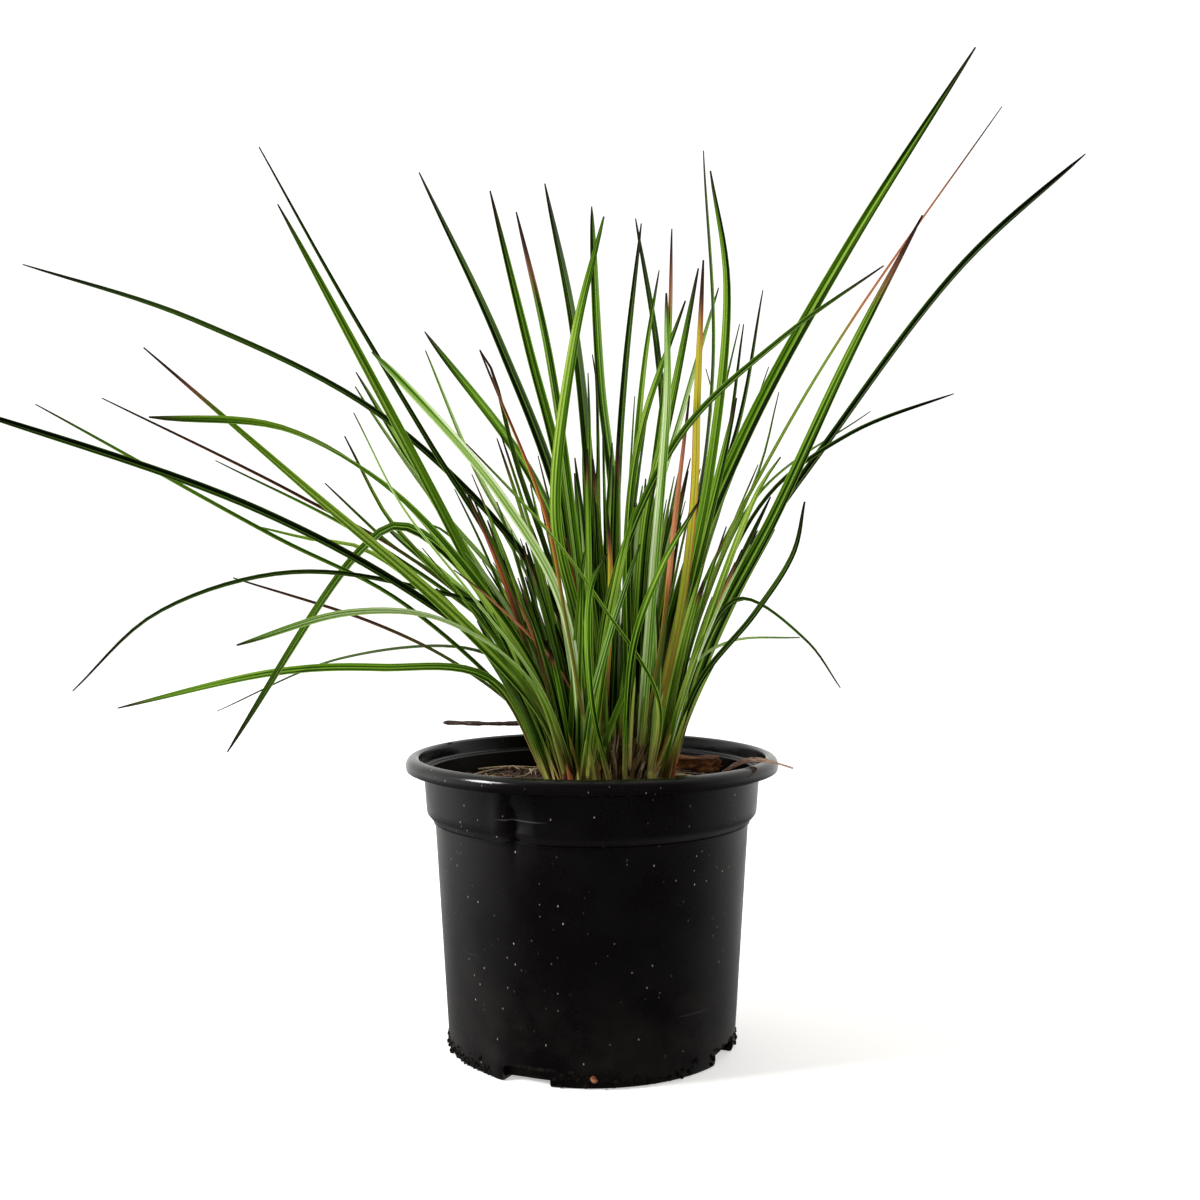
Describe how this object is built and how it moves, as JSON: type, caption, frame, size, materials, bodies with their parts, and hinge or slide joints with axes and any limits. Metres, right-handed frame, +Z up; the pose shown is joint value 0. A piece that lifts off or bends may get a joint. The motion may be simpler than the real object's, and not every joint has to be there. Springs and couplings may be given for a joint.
{
  "type": "potted ornamental grass",
  "caption": "Clump of narrow, keeled, arching evergreen leaves growing from a thatchy crown in a round black nursery pot filled with potting mix.",
  "frame": {"origin": "middle of the pot's flat underside, on the pot's axis, at the surface that the pot stands on", "axes": "+Z up along the pot's axis, -Y is the front from which the plant is usually seen, +X to the right in that view; the leaves reach furthest along X"},
  "size_m": [0.5232, 0.3402, 0.4501],
  "materials": {
    "pot_plastic": "satin",
    "potting_mix": "matte",
    "dead_sheath": "matte",
    "dead_stem": "matte",
    "bark": "matte",
    "leaf_dark": "satin",
    "leaf_green": "satin",
    "leaf_light": "satin",
    "leaf_dried": "matte"
  },
  "bodies": {
    "root": {"pot": "pot_plastic", "potting_mix": "potting_mix", "crown": "dead_sheath", "leaf_01": "leaf_dark", "leaf_02": "leaf_dark", "leaf_03": "leaf_green", "leaf_04": "leaf_light", "leaf_05": "leaf_dried", "leaf_06": "leaf_green", "leaf_07": "leaf_green", "leaf_08": "leaf_dark", "leaf_09": "leaf_dried", "leaf_10": "leaf_green", "leaf_11": "leaf_dark", "leaf_12": "leaf_green", "leaf_13": "leaf_light", "leaf_14": "leaf_dark", "leaf_15": "leaf_green", "leaf_16": "leaf_green", "leaf_17": "leaf_green", "leaf_18": "leaf_light", "leaf_19": "leaf_green", "leaf_20": "leaf_dark", "leaf_21": "leaf_light", "leaf_22": "leaf_light", "leaf_23": "leaf_dried", "leaf_24": "leaf_dark", "leaf_25": "leaf_green", "leaf_26": "leaf_green", "leaf_27": "leaf_dark", "leaf_28": "leaf_green", "leaf_29": "leaf_green", "leaf_30": "leaf_dark", "leaf_31": "leaf_dark", "leaf_32": "leaf_green", "leaf_33": "leaf_light", "leaf_34": "leaf_green", "leaf_35": "leaf_green", "leaf_36": "leaf_green", "leaf_37": "leaf_green", "leaf_38": "leaf_green", "leaf_39": "leaf_light", "leaf_40": "leaf_dried", "leaf_41": "leaf_dark", "leaf_42": "leaf_green", "leaf_43": "leaf_green", "leaf_44": "leaf_dark", "leaf_45": "leaf_green", "leaf_46": "leaf_light", "leaf_47": "leaf_green", "leaf_48": "leaf_green", "leaf_49": "leaf_green", "leaf_50": "leaf_dark", "leaf_51": "leaf_dark", "leaf_52": "leaf_dark", "bark_chip": "bark", "dead_twig": "dead_stem", "dead_straw": "dead_stem"}
  },
  "joints": []
}
